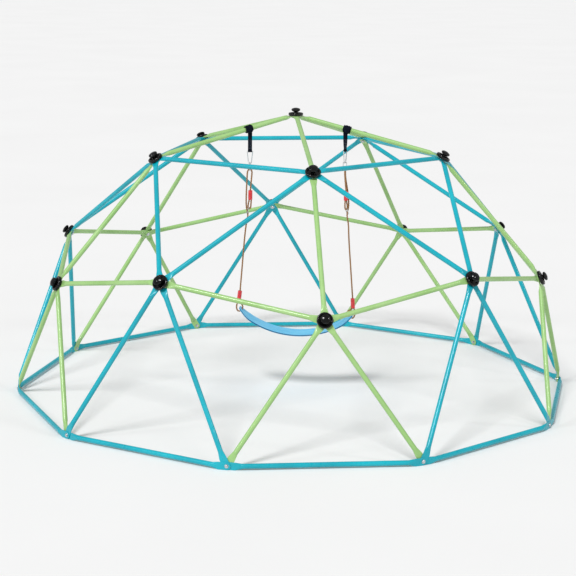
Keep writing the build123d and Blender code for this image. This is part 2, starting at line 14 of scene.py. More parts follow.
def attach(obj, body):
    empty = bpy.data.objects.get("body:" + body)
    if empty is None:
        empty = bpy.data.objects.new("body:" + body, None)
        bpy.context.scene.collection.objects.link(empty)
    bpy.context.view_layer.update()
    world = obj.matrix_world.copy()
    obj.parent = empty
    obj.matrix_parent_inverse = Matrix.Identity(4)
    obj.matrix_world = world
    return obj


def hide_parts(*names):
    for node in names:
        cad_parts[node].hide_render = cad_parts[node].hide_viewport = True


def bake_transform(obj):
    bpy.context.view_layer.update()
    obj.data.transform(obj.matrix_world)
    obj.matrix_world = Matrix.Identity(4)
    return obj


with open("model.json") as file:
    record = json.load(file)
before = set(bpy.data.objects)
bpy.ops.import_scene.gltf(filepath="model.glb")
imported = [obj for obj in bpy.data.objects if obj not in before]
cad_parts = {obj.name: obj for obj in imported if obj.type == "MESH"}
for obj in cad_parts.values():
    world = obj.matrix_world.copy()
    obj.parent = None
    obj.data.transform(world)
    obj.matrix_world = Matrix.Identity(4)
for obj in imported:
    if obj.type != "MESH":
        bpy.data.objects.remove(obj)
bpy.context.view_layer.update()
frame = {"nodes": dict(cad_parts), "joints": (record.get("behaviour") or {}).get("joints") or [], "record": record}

SCENE = bpy.context.scene
JOINTS = {joint["name"]: joint for joint in frame["joints"]}
SWING_Y = JOINTS["swing_left"]["pos_m"][1]
SWING_Z = JOINTS["swing_left"]["pos_m"][2]
SIDES = ("left", "right")
MM = 0.001

# ---------------------------------------------------------------- camera
CAMERA_AZIMUTH = radians(-6.07)
CAMERA_ELEVATION = radians(11.93)
CAMERA_ROLL = radians(0.565)
CAMERA_DISTANCE = 9.15
CAMERA_ASIDE = -0.028
CAMERA_RISE = 0.537
CAMERA_BASE = 0.019  # the feet's bolts, which the camera's rise is counted from
CAMERA_LENS = 101.6
CAMERA_SENSOR = 36


def make_camera():
    """A long lens in front of the dome, a little to its left and above its middle."""
    level = cos(CAMERA_ELEVATION)
    back = Vector((
        sin(CAMERA_AZIMUTH) * level,
        -cos(CAMERA_AZIMUTH) * level,
        sin(CAMERA_ELEVATION),
    ))
    right = Vector((cos(CAMERA_AZIMUTH), sin(CAMERA_AZIMUTH), 0))
    turn = Matrix.Rotation(CAMERA_ROLL, 3, back)
    right = turn @ right
    up = back.cross(right)
    place = back * CAMERA_DISTANCE + right * CAMERA_ASIDE + up * CAMERA_RISE
    place.z += CAMERA_BASE
    data = bpy.data.cameras.new("camera")
    data.sensor_width = CAMERA_SENSOR
    data.lens = CAMERA_LENS
    camera = bpy.data.objects.new("camera", data)
    SCENE.collection.objects.link(camera)
    axes = Matrix((right, up, back)).transposed().to_4x4()
    camera.matrix_world = Matrix.Translation(place) @ axes
    SCENE.camera = camera


make_camera()

# ---------------------------------------------------------------- meshes
def new_piece(name, vertices, faces, materials, uvs=None, material_index=None):
    """A smooth mesh object. uvs holds one (u, v) for each face corner, in face order."""
    mesh = bpy.data.meshes.new(name)
    mesh.from_pydata([tuple(v) for v in vertices], [], faces)
    for material in materials:
        mesh.materials.append(material)
    if uvs:
        layer = mesh.uv_layers.new(name="UVMap")
        for loop, uv in zip(layer.data, uvs):
            loop.uv = uv
    if material_index:
        mesh.polygons.foreach_set("material_index", material_index)
    mesh.polygons.foreach_set("use_smooth", [True] * len(mesh.polygons))
    mesh.update()
    piece = bpy.data.objects.new(name, mesh)
    SCENE.collection.objects.link(piece)
    return piece


def ring_faces(rings, size, base=0, cyclic=False):
    """Quads between rings of vertices, each ring closed round its own section."""
    faces = []
    for i in range(rings if cyclic else rings - 1):
        here = base + i * size
        there = base + (i + 1) % rings * size
        for k in range(size):
            after = (k + 1) % size
            faces.append((here + k, here + after, there + after, there + k))
    return faces


def ring_uvs(rings, size, around, along, cyclic=False):
    """Corners for ring_faces: u runs round the section and v along, both in metres."""
    uvs = []
    for i in range(rings if cyclic else rings - 1):
        low, high = i * along, (i + 1) * along
        for k in range(size):
            left, right = k * around / size, (k + 1) * around / size
            uvs += [(left, low), (right, low), (right, high), (left, high)]
    return uvs


def spline_points(name, route):
    """Points along a smooth curve that has the route's points as its control points."""
    data = bpy.data.curves.new(name, "CURVE")
    data.dimensions = "3D"
    data.resolution_u = 40
    spline = data.splines.new("NURBS")
    spline.points.add(len(route) - 1)
    for point, at in zip(spline.points, route):
        point.co = (*at, 1)
    spline.order_u = 3
    spline.use_endpoint_u = True
    curve = bpy.data.objects.new(name, data)
    mesh = bpy.data.meshes.new_from_object(curve)
    points = [v.co.copy() for v in mesh.vertices]
    bpy.data.objects.remove(curve)
    bpy.data.curves.remove(data)
    bpy.data.meshes.remove(mesh)
    return points


def even_points(points, step):
    """Points about a step apart along a line, and the line's length."""
    reach = [0.0]
    for a, b in zip(points, points[1:]):
        reach.append(reach[-1] + (b - a).length)
    count = max(2, round(reach[-1] / step))
    out = []
    k = 0
    for i in range(count + 1):
        want = reach[-1] * i / count
        while k < len(points) - 2 and reach[k + 1] < want:
            k += 1
        span = reach[k + 1] - reach[k]
        out.append(points[k].lerp(points[k + 1], (want - reach[k]) / span))
    return out, reach[-1]


def carried_frames(points):
    """A tangent and two crosswise directions at each point, carried on without twist."""
    frames = []
    cross = None
    for i in range(len(points)):
        ahead = points[min(i + 1, len(points) - 1)] - points[max(i - 1, 0)]
        tangent = ahead.normalized()
        if cross is None:
            cross = tangent.orthogonal().normalized()
        cross = (cross - tangent * cross.dot(tangent)).normalized()
        frames.append((tangent, cross, tangent.cross(cross)))
    return frames


# ---------------------------------------------------------------- materials
class Look:
    """A procedural material while its nodes are put together."""

    def __init__(self, name, **shader):
        self.material = bpy.data.materials.new(name)
        self.material.use_nodes = True
        self.tree = self.material.node_tree
        self.shader = self.tree.nodes["Principled BSDF"]
        for socket, value in shader.items():
            self.shader.inputs[socket.replace("_", " ")].default_value = value
        self.place = self.add("ShaderNodeTexCoord").outputs["Object"]

    def add(self, kind, inputs=None, **settings):
        node = self.tree.nodes.new(kind)
        for key, value in settings.items():
            setattr(node, key, value)
        for key, value in (inputs or {}).items():
            if isinstance(value, bpy.types.NodeSocket):
                self.tree.links.new(value, node.inputs[key])
            else:
                node.inputs[key].default_value = value
        return node

    def uv(self, across, along):
        """The strap's or strand's own coordinates, scaled across and along it."""
        source = self.add("ShaderNodeUVMap", uv_map="UVMap").outputs["UV"]
        scale = {"Vector": source, "Scale": (across, along, 1)}
        return self.add("ShaderNodeMapping", scale).outputs["Vector"]

    def stretched(self, x, y, z):
        """The object's own coordinates, scaled along each axis."""
        scale = {"Vector": self.place, "Scale": (x, y, z)}
        return self.add("ShaderNodeMapping", scale).outputs["Vector"]

    def noise(self, scale, detail=2.0, rough=0.5, at=None):
        inputs = {"Vector": at or self.place, "Scale": scale, "Detail": detail, "Roughness": rough}
        return self.add("ShaderNodeTexNoise", inputs).outputs["Fac"]

    def wave(self, scale, at, distortion=0.0):
        inputs = {"Vector": at, "Scale": scale, "Distortion": distortion}
        settings = {"wave_type": "BANDS", "bands_direction": "X"}
        return self.add("ShaderNodeTexWave", inputs, **settings).outputs["Fac"]

    def cells(self, scale):
        inputs = {"Vector": self.place, "Scale": scale}
        return self.add("ShaderNodeTexVoronoi", inputs).outputs["Distance"]

    def math(self, operation, a, b):
        node = self.add("ShaderNodeMath", operation=operation)
        for socket, value in zip(node.inputs, (a, b)):
            if isinstance(value, bpy.types.NodeSocket):
                self.tree.links.new(value, socket)
            else:
                socket.default_value = value
        return node.outputs["Value"]

    def spread(self, value, low, high, to_low=0.0, to_high=1.0):
        """A value from the range low to high, spread over the range to_low to to_high."""
        inputs = {
            "Value": value,
            "From Min": low,
            "From Max": high,
            "To Min": to_low,
            "To Max": to_high,
        }
        return self.add("ShaderNodeMapRange", inputs).outputs["Result"]

    def colours(self, factor, *stops):
        """A colour ramp through (place, colour) stops."""
        node = self.add("ShaderNodeValToRGB", {"Fac": factor})
        ramp = node.color_ramp
        for element, (place, colour) in zip(ramp.elements, stops):
            element.position = place
            element.color = (*colour, 1)
        for place, colour in stops[2:]:
            ramp.elements.new(place).color = (*colour, 1)
        return node.outputs["Color"]

    def mix(self, factor, a, b):
        """Two colours mixed; the node's sockets 6 and 7 are its colours, and output 2 the result."""
        node = self.add("ShaderNodeMix", data_type="RGBA")
        for index, value in ((0, factor), (6, a), (7, b)):
            if isinstance(value, bpy.types.NodeSocket):
                self.tree.links.new(value, node.inputs[index])
            elif index:
                node.inputs[index].default_value = (*value, 1)
            else:
                node.inputs[index].default_value = value
        return node.outputs[2]

    def bump(self, height, depth, strength=1.0, over=None):
        inputs = {"Height": height, "Distance": depth, "Strength": strength}
        if over:
            inputs["Normal"] = over
        return self.add("ShaderNodeBump", inputs).outputs["Normal"]

    def finish(self, **sockets):
        """Link each value to the shader's socket of that name, and give the material."""
        for key, value in sockets.items():
            self.tree.links.new(value, self.shader.inputs[key.replace("_", " ")])
        return self.material


def powder_coat(name, colour, deep, pale):
    """Gloss powder coat on steel: orange peel, fine mottling and a few rubbed places."""
    look = Look(name, IOR=1.42, Coat_Weight=0.22, Coat_Roughness=0.10)
    cloud = look.noise(5.0, 3.0)
    tint = look.colours(cloud, (0.30, deep), (0.52, colour), (0.74, pale))
    speck = look.spread(look.noise(900.0, 2.0), 0.35, 0.7)
    tint = look.mix(look.math("MULTIPLY", speck, 0.10), tint, pale)
    rubbed = look.spread(look.noise(38.0, 6.0, 0.72), 0.66, 0.74)
    tint = look.mix(look.math("MULTIPLY", rubbed, 0.35), tint, deep)
    rough = look.spread(look.noise(60.0, 4.0), 0.3, 0.7, 0.24, 0.38)
    rough = look.math("ADD", rough, look.math("MULTIPLY", rubbed, 0.18))
    peel = look.bump(look.noise(420.0, 1.5), 0.00022, 0.55)
    grain = look.bump(look.noise(2200.0, 1.0), 0.00004, 0.5, peel)
    return look.finish(Base_Color=tint, Roughness=rough, Normal=grain)


def moulded_black():
    """Injection-moulded gloss black plastic with faint flow marks and handling scratches."""
    look = Look("moulded_black", IOR=1.34, Coat_Weight=0.12, Coat_Roughness=0.05)
    tint = look.colours(
        look.noise(30.0, 3.0),
        (0.3, (0.0015, 0.0015, 0.0018)),
        (0.7, (0.004, 0.004, 0.0045)),
    )
    scratch = look.spread(look.noise(1.0, 5.0, 0.7, look.stretched(900, 120, 500)), 0.60, 0.72)
    tint = look.mix(look.math("MULTIPLY", scratch, 0.2), tint, (0.03, 0.03, 0.033))
    rough = look.spread(look.noise(140.0, 3.0), 0.3, 0.7, 0.10, 0.19)
    rough = look.math("ADD", rough, look.math("MULTIPLY", scratch, 0.2))
    skin = look.bump(look.noise(700.0, 2.0), 0.00006, 0.5)
    return look.finish(Base_Color=tint, Roughness=rough, Normal=skin)


def plated_steel(name, colour, rough_low, rough_high):
    """Zinc-plated steel: drawn grain, slight cloudiness and dull spots."""
    look = Look(name, Metallic=1.0)
    streak = look.noise(1.0, 4.0, 0.6, look.stretched(400, 400, 2600))
    dull = tuple(0.72 * c for c in colour)
    tint = look.colours(look.noise(160.0, 4.0), (0.35, dull), (0.62, colour))
    tint = look.mix(look.spread(streak, 0.3, 0.8, 0.0, 0.3), tint, dull)
    rough = look.spread(look.noise(220.0, 3.0), 0.3, 0.7, rough_low, rough_high)
    fine = look.bump(streak, 0.00003, 0.6)
    return look.finish(Base_Color=tint, Roughness=rough, Normal=fine)


def rope_yarn():
    """Laid brown rope: each strand's fibres run along it, and the hollows between the strands are darkened as
    painted shade.
    """
    look = Look("rope_yarn", Roughness=0.8, Sheen_Weight=0.1, Sheen_Roughness=0.5)
    fibre = look.noise(1.0, 4.0, 0.62, look.uv(2300, 210))
    tone = look.noise(1.0, 2.0, 0.5, look.uv(400, 38))
    brown = look.colours(
        fibre,
        (0.24, (0.22, 0.085, 0.026)),
        (0.50, (0.58, 0.275, 0.095)),
        (0.78, (0.86, 0.52, 0.24)),
    )
    tint = look.mix(look.spread(tone, 0.3, 0.7, 0.0, 0.4), brown, (0.60, 0.30, 0.11))
    # painted shade: the skin is darkened towards near-black where it lies deep between the strands
    standing = look.add("ShaderNodeAttribute", attribute_name="standing").outputs["Fac"]
    painted_hollow_shade = look.spread(standing, 0.96, 0.80)
    tint = look.mix(painted_hollow_shade, tint, (0.010, 0.004, 0.002))
    fuzz = look.bump(fibre, 0.00022, 0.9)
    return look.finish(Base_Color=tint, Normal=fuzz)


def webbing():
    """Blue-black polyester webbing: a twill of ribs along and cross threads."""
    look = Look("webbing", Roughness=0.75, IOR=1.25, Specular_IOR_Level=0.3)
    strap = look.uv(1, 1)
    slant = look.add("ShaderNodeMapping", {"Vector": strap, "Rotation": (0, 0, radians(38))})
    ribs = look.wave(95.0, strap)
    twill = look.wave(150.0, slant.outputs["Vector"], 0.4)
    weave = look.math("MULTIPLY", ribs, twill)
    worn = look.noise(140.0, 4.0)
    dark = (0.0008, 0.0018, 0.006)
    tint = look.colours(weave, (0.0, dark), (0.9, (0.004, 0.009, 0.022)))
    tint = look.mix(look.spread(worn, 0.5, 0.8, 0.0, 0.3), tint, (0.014, 0.022, 0.042))
    raised = look.bump(weave, 0.00035, 0.9)
    hairs = look.bump(look.noise(2600.0, 2.0), 0.00008, 0.6, raised)
    return look.finish(Base_Color=tint, Normal=hairs)


def sewing_thread():
    """Pale grey bonded sewing thread, two-ply."""
    look = Look("sewing_thread", Roughness=0.55, Sheen_Weight=0.2)
    ply = look.noise(2400.0, 3.0)
    tint = look.colours(ply, (0.3, (0.10, 0.12, 0.15)), (0.7, (0.36, 0.40, 0.46)))
    return look.finish(Base_Color=tint, Normal=look.bump(ply, 0.00012, 0.8))


def red_sleeve():
    """Slightly clear red moulded plastic, lighter where it is thin."""
    look = Look(
        "red_sleeve",
        IOR=1.46,
        Coat_Weight=0.4,
        Coat_Roughness=0.15,
        Subsurface_Weight=0.25,
        Subsurface_Radius=(0.006, 0.0012, 0.0012),
    )
    flow = look.noise(90.0, 3.0)
    tint = look.colours(
        flow,
        (0.30, (0.50, 0.012, 0.020)),
        (0.55, (0.68, 0.028, 0.036)),
        (0.80, (0.80, 0.075, 0.08)),
    )
    rough = look.spread(look.noise(300.0, 3.0), 0.3, 0.7, 0.22, 0.36)
    return look.finish(Base_Color=tint, Roughness=rough, Normal=look.bump(flow, 0.0002, 0.3))


def seat_skin():
    """Moulded EVA belt: fine leather grain, faint streaks along it and rubbed patches."""
    look = Look("seat_skin", IOR=1.45, Sheen_Weight=0.1, Coat_Weight=0.08, Coat_Roughness=0.35)
    streak = look.noise(1.0, 4.0, 0.6, look.uv(420, 9))
    tint = look.colours(
        streak,
        (0.30, (0.030, 0.400, 0.76)),
        (0.50, (0.100, 0.550, 0.88)),
        (0.70, (0.330, 0.720, 0.95)),
    )
    rubbed = look.spread(look.noise(26.0, 5.0, 0.65), 0.56, 0.75)
    tint = look.mix(look.math("MULTIPLY", rubbed, 0.30), tint, (0.38, 0.72, 0.95))
    cell = look.cells(900.0)
    rough = look.spread(look.noise(80.0, 4.0), 0.3, 0.7, 0.38, 0.54)
    grain = look.bump(cell, 0.00016, 0.5)
    soft = look.bump(streak, 0.0002, 0.35, grain)
    return look.finish(Base_Color=tint, Roughness=rough, Normal=soft)


def shaded_seat_edge():
    """The belt's rounded sides and ends in a deeper blue: painted shade, for the sides that turn away from the
    light.
    """
    look = Look("shaded_seat_edge", IOR=1.45, Coat_Weight=0.15, Coat_Roughness=0.3)
    cloud = look.noise(45.0, 4.0)
    tint = look.colours(cloud, (0.3, (0.0, 0.085, 0.20)), (0.7, (0.0, 0.140, 0.31)))
    rough = look.spread(look.noise(200.0, 3.0), 0.3, 0.7, 0.32, 0.48)
    grain = look.bump(look.cells(900.0), 0.00014, 0.5)
    return look.finish(Base_Color=tint, Roughness=rough, Normal=grain)


GREEN = powder_coat("green_coat", (0.315, 0.535, 0.190), (0.270, 0.485, 0.155), (0.365, 0.580, 0.235))
BLUE = powder_coat("blue_coat", (0.0005, 0.375, 0.465), (0.0, 0.320, 0.400), (0.004, 0.425, 0.515))
BLACK = moulded_black()
ZINC = plated_steel("zinc_plate", (0.66, 0.67, 0.69), 0.22, 0.38)
BRIGHT = plated_steel("bright_wire", (0.80, 0.81, 0.83), 0.14, 0.28)
ROPE = rope_yarn()
WEBBING = webbing()
THREAD = sewing_thread()
RED = red_sleeve()
SEAT = seat_skin()
SHADED_SEAT_EDGE = shaded_seat_edge()

SLOT_LOOKS = {
    "green_powder_coat": GREEN,
    "blue_powder_coat": BLUE,
    "black_plastic": BLACK,
    "zinc_fasteners": ZINC,
    "ring_steel": BRIGHT,
    "rope_fibre": ROPE,
    "sling_webbing": WEBBING,
    "red_plastic": RED,
    "seat_rubber": SEAT,
}
for subpart in frame["record"]["subparts"]:
    node = frame["nodes"][subpart["node"]]
    node.data.materials.clear()
    node.data.materials.append(SLOT_LOOKS[subpart["material_slot"]])

# ---------------------------------------------------------------- ropes
ROPE_R = 4.5 * MM
STRANDS = 3
STRAND_R = 0.5 * ROPE_R
STRAND_LAY = 30 * MM
YARNS = 5
YARN_POINTS = 20
YARN_DEPTH = 0.11
YARN_LAY = 17 * MM
ROPE_STEP = 1.5 * MM

Y = SWING_Y
ROPE_TOP_Z = 1.245
LEAN = {"left": 0.0526, "right": -0.0525}  # the turned seat leans the ropes back or forward
ROUTES = {
    "rope_left": [
        (-0.304, Y, 0.567),
        (-0.2955, Y, 0.680),
        (-0.2772, Y, 0.930),
        (-0.2615, Y, 0.994),
        (-0.2744, Y, 1.034),
        (-0.275, Y, 1.100),
        (-0.2714, Y, 1.191),
        (-0.2692, Y, 1.245),
        (-0.2428, Y, 1.245),
        (-0.2473, Y, 1.191),
        (-0.2525, Y, 1.129),
    ],
    "rope_eye_left": [
        (-0.2577, Y, 1.078),
        (-0.2643, Y, 1.054),
        (-0.2644, Y, 1.028),
        (-0.2504, Y, 1.028),
        (-0.2484, Y, 1.052),
        (-0.2473, Y, 1.078),
    ],
    "seat_loop_left": [
        (-0.3157, Y, 0.513),
        (-0.3218, Y, 0.489),
        (-0.3235, Y, 0.468),
        (-0.317, Y, 0.4525),
        (-0.3035, Y, 0.4495),
        (-0.287, Y, 0.4675),
        (-0.2915, Y, 0.487),
        (-0.3053, Y, 0.5118),
    ],
    "rope_right": [
        (0.312, Y, 0.532),
        (0.3005, Y, 0.690),
        (0.287, Y, 0.868),
        (0.2855, Y + 0.0005, 0.945),
        (0.2735, Y - 0.002, 0.994),
        (0.289, Y + 0.0115, 1.042),
        (0.2815, Y + 0.0125, 1.120),
        (0.2674, Y + 0.0126, 1.195),
        (0.2664, Y + 0.0128, 1.245),
        (0.2596, Y - 0.0128, 1.245),
        (0.2615, Y - 0.0115, 1.190),
        (0.2693, Y - 0.0069, 1.124),
    ],
    "rope_eye_right": [
        (0.2638, Y - 0.0106, 1.073),
        (0.262, Y - 0.0114, 1.049),
        (0.2645, Y - 0.0095, 1.024),
        (0.276, Y - 0.001, 1.0225),
        (0.2785, Y, 1.046),
        (0.2712, Y - 0.0032, 1.073),
    ],
    "seat_loop_right": [
        (0.3197, Y, 0.4772),
        (0.3245, Y, 0.460),
        (0.326, Y, 0.442),
        (0.321, Y, 0.427),
        (0.3095, Y, 0.418),
        (0.291, Y, 0.439),
        (0.281, Y, 0.450),
        (0.2875, Y, 0.461),
        (0.302, Y, 0.4675),
        (0.3093, Y, 0.4768),
    ],
}


def leaned(side, place):
    """A place on a rope that hangs upright, moved to where the leaning rope has it."""
    x, y, z = place
    return x, y + LEAN[side] * (ROPE_TOP_Z - z), z


def laid_rope(name, route):
    """Three strands laid round each other, each of five twisted yarns, along the route."""
    line, length = even_points(spline_points(name, route), ROPE_STEP)
    step = length / (len(line) - 1)
    frames = carried_frames(line)
    vertices, faces, uvs, standing = [], [], [], []
    for strand in range(STRANDS):
        centres = []
        for i, (point, (_, cross, third)) in enumerate(zip(line, frames)):
            turn = 2 * pi * (i * step / STRAND_LAY + strand / STRANDS)
            centres.append(point + (cross * cos(turn) + third * sin(turn)) * (ROPE_R - STRAND_R))
        base = len(vertices)
        for i, (centre, (_, cross, third)) in enumerate(zip(centres, carried_frames(centres))):
            twist = -2 * pi * i * step / YARN_LAY
            for k in range(YARN_POINTS):
                angle = 2 * pi * k / YARN_POINTS
                lobe = 1 - YARN_DEPTH * (0.5 - 0.5 * cos(YARNS * angle))
                spun = angle + twist
                vertices.append(centre + (cross * cos(spun) + third * sin(spun)) * STRAND_R * lobe)
                standing.append((vertices[-1] - line[i]).length / ROPE_R)
        faces += ring_faces(len(line), YARN_POINTS, base)
        uvs += ring_uvs(len(line), YARN_POINTS, 2 * pi * STRAND_R, step)
        last = base + (len(line) - 1) * YARN_POINTS
        faces.append(tuple(range(base, base + YARN_POINTS))[::-1])
        faces.append(tuple(range(last, last + YARN_POINTS)))
        uvs += [(0, 0)] * (2 * YARN_POINTS)
    piece = new_piece(f"laid_{name}", vertices, faces, [ROPE], uvs)
    shares = piece.data.attributes.new("standing", "FLOAT", "POINT")
    shares.data.foreach_set("value", standing)
    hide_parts(name)
    return piece, line, length


FERRULE_R = 11.5 * MM
FERRULE_RIBS = 8
FERRULE_RIB_RISE = 0.10  # of the sleeve's radius
FERRULE_AROUND = 96
FERRULE_LIP = 3.0 * MM
FERRULE_NECK = 6.0 * MM


def ferrule_profile(length):
    """(radius share, height, rib share) from one end of the sleeve to the other."""
    lip, neck = FERRULE_LIP, FERRULE_NECK
    return [
        (0.0, 0.3 * MM, 0.0),
        (0.55, 0.1 * MM, 0.0),
        (0.80, 0.0, 0.0),
        (0.93, 0.7 * MM, 0.0),
        (0.985, 1.8 * MM, 0.0),
        (1.0, lip, 0.0),
        (0.985, neck - 1.4 * MM, 0.1),
        (0.92, neck, 0.4),
        (0.90, neck + 2 * MM, 1.0),
        (0.895, length * 0.5, 1.0),
        (0.90, length - neck - 2 * MM, 1.0),
        (0.92, length - neck, 0.4),
        (0.985, length - neck + 1.4 * MM, 0.1),
        (1.0, length - lip, 0.0),
        (0.985, length - 1.8 * MM, 0.0),
        (0.93, length - 0.7 * MM, 0.0),
        (0.80, length, 0.0),
        (0.55, length - 0.1 * MM, 0.0),
        (0.0, length - 0.3 * MM, 0.0),
    ]


def ribbed_ferrule(name, top, bottom, body):
    """A red sleeve with a collar at each end and ribs along its waist."""
    foot = Vector(bottom)
    axis = Vector(top) - foot
    up = axis.normalized()
    cross = up.orthogonal().normalized()
    third = up.cross(cross)
    profile = ferrule_profile(axis.length)
    vertices = [foot + up * profile[0][1]]
    for share, height, rib in profile[1:-1]:
        for k in range(FERRULE_AROUND):
            angle = 2 * pi * k / FERRULE_AROUND
            ridge = abs(cos(FERRULE_RIBS / 2 * angle)) ** 3
            radius = FERRULE_R * (share + FERRULE_RIB_RISE * rib * ridge)
            out = cross * cos(angle) + third * sin(angle)
            vertices.append(foot + up * height + out * radius)
    rings = len(profile) - 2
    faces = ring_faces(rings, FERRULE_AROUND, 1)
    tip = len(vertices)
    vertices.append(foot + up * profile[-1][1])
    last = 1 + (rings - 1) * FERRULE_AROUND
    for k in range(FERRULE_AROUND):
        after = (k + 1) % FERRULE_AROUND
        faces.append((0, 1 + after, 1 + k))
        faces.append((tip, last + k, last + after))
    piece = new_piece(f"ribbed_{name}", vertices, faces, [RED])
    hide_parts(name)
    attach(piece, body)
    return piece


FERRULE_ENDS = {
    "upper_ferrule_left": ((-0.2525, Y, 1.129), (-0.2525, Y, 1.078)),
    "lower_ferrule_left": ((-0.304, Y, 0.567), (-0.3105, Y, 0.5124)),
    "upper_ferrule_right": ((0.2693, Y - 0.0069, 1.124), (0.2675, Y - 0.0069, 1.073)),
    "lower_ferrule_right": ((0.312, Y, 0.532), (0.3145, Y, 0.477)),
}
for side in SIDES:
    body = f"hanger_{side}"
    sleeves = {}
    for place in ("upper", "lower"):
        name = f"{place}_ferrule_{side}"
        top, bottom = (leaned(side, end) for end in FERRULE_ENDS[name])
        sleeves[place] = ribbed_ferrule(name, top, bottom, body)
    carried = {
        "rope": [sleeves["upper"], sleeves["lower"], f"adjuster_link_{side}"],
        "rope_eye": [],
        "seat_loop": [],
    }
    for kind, on_it in carried.items():
        name = f"{kind}_{side}"
        route = [leaned(side, place) for place in ROUTES[name]]
        piece, line, length = laid_rope(name, route)
        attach(piece, body)

# ---------------------------------------------------------------- slings
TUBE_R = 12.5 * MM
STRAP_T = 2.0 * MM
WRAP_STEPS = 30
# each turn of the wrap: how far its middle stands off the tube, width, slant, shift, folds
WRAP_TURNS = (
    (1.2 * MM, 41 * MM, 0.0, 0.0, 0.1 * MM),
    (3.3 * MM, 44 * MM, 0.05, 0.3 * MM, 0.35 * MM),
    (5.4 * MM, 40 * MM, -0.09, -0.6 * MM, 0.6 * MM),
    (7.3 * MM, 25 * MM, 0.20, 1.0 * MM, 0.5 * MM),
)
WRAP_SAG = 0.8 * MM  # how far a turn hangs off the tube over the tail
WRAP_NARROWING = 0.05  # and how much narrower it is there
WRAP_WAVE = 0.35 * MM  # the turns are this much out of round
WRAP_SLANT_R = 20 * MM  # the radius where a turn's slant is measured
TAIL_W = 23.5 * MM
RING_BAR_Z = 1.3425
RING_WIRE_R = 2.75 * MM
HANG_X = {"left": -0.256, "right": 0.262}
RING_TURN = {"left": 0.0, "right": radians(50)}
STRAP_ACROSS = 26  # points across one face of the strap
BROAD_CREASE = 5.2  # radians of a crease's wave from the strap's middle to its edge
FINE_CREASE = 9.7
FINE_SHARE = 0.8  # of a fold's height, for the fine creases and the strap's wandering
STRAP_EDGE = 0.88  # the share of the half width where the strap's edge starts to round
TAIL_GAP = 1.1 * MM  # from the middle of the doubled tail to the middle of either layer
THREAD_R = 0.42 * MM
STITCH_PITCH = 4.2 * MM
STITCH_SHOWN = 0.72  # the share of the pitch where the thread lies on top
STITCH_ROWS = (-0.40, 0.0, 0.40)  # as shares of the tail's width
CROSS_PITCH = 3.7 * MM
CROSS_STITCH = 2.8 * MM


def tube_line(node):
    """The middle and the direction of the tube that a wrap goes round."""
    points = [v.co.copy() for v in frame["nodes"][node].data.vertices]
    middle = sum(points, Vector()) / len(points)
    outer = [p for p in points if abs(p.x) > abs(middle.x)]
    inner = [p for p in points if abs(p.x) <= abs(middle.x)]
    axis = sum(outer, Vector()) / len(outer) - sum(inner, Vector()) / len(inner)
    return middle, axis.normalized()


def smoothed(stations, times):
    """Closed loop of number lists with its corners cut again and again."""
    for _ in range(times):
        finer = []
        for a, b in zip(stations, stations[1:] + stations[:1]):
            finer.append([0.75 * p + 0.25 * q for p, q in zip(a, b)])
            finer.append([0.25 * p + 0.75 * q for p, q in zip(a, b)])
        stations = finer
    return stations


def strap_loop(stations, seed):
    """A closed loop of webbing through stations of place, across direction, width and folds."""
    places = [Vector(s[:3]) for s in stations]
    count = len(stations)
    vertices = []
    section = 2 * STRAP_ACROSS
    for i, station in enumerate(stations):
        across = Vector(station[3:6]).normalized()
        tangent = (places[(i + 1) % count] - places[i - 1]).normalized()
        face = tangent.cross(across).normalized()
        across = face.cross(tangent)
        width, fold = station[6], station[7]
        for side_of in (1, -1):
            for k in range(STRAP_ACROSS):
                share = (k + 0.5) / STRAP_ACROSS * 2 - 1
                share *= side_of
                edge = max(0.0, abs(share) - STRAP_EDGE) / (1 - STRAP_EDGE)
                half = STRAP_T / 2 * (sqrt(max(0.0, 1 - edge**2)) * 0.9 + 0.1)
                broad = sin(share * BROAD_CREASE + seed)
                fine = sin(share * FINE_CREASE + 2 * seed)
                wander = noise(Vector((share * 2, i * 0.12, seed)))
                lift = half * side_of + fold * (broad + FINE_SHARE * (fine + wander))
                vertices.append(places[i] + across * (share * width / 2) + face * lift)
    step = sum((a - b).length for a, b in zip(places, places[1:] + places[:1])) / count
    faces = ring_faces(count, section, cyclic=True)
    uvs = ring_uvs(count, section, 2 * max(s[6] for s in stations), step, cyclic=True)
    return (vertices, faces), uvs


def stitch(start, end, lift):
    """One thread stitch lying on the webbing from start to end."""
    along = end - start
    direction = along.normalized()
    aside = direction.cross(lift).normalized()
    vertices = []
    rings, sides = 5, 6
    for i in range(rings):
        share = i / (rings - 1)
        bulge = sin(pi * (0.08 + 0.84 * share))
        centre = start + along * share + lift * (bulge * 0.45 * MM - 0.15 * MM)
        for k in range(sides):
            angle = 2 * pi * k / sides
            vertices.append(centre + (aside * cos(angle) + lift * sin(angle)) * THREAD_R * bulge)
    faces = ring_faces(rings, sides)
    faces.append(tuple(range(sides))[::-1])
    faces.append(tuple(range((rings - 1) * sides, rings * sides)))
    return vertices, faces


def tail_face(side, height):
    """The tail's width direction at a height: it turns from the tube to the ring."""
    _, axis = tube_line(f"sling_wrap_{side}")
    plan = Vector((axis.x, axis.y, 0)).normalized()
    if plan.x < 0:
        plan = -plan
    start = atan2(plan.y, plan.x)
    top = SWING_Z - 0.030
    share = min(1.0, max(0.0, (top - height) / (top - RING_BAR_Z - 0.012)))
    turn = start + (RING_TURN[side] - start) * share
    return Vector((cos(turn), sin(turn), 0))


def wrap_axes(side):
    """The tube's middle, its direction, and down and forward square to it."""
    middle, axis = tube_line(f"sling_wrap_{side}")
    if axis.x < 0:
        axis = -axis
    down = (Vector((0, 0, -1)) + axis * axis.z).normalized()
    front = down.cross(axis).normalized()
    if front.y > 0:
        front = -front
    return middle, axis, down, front


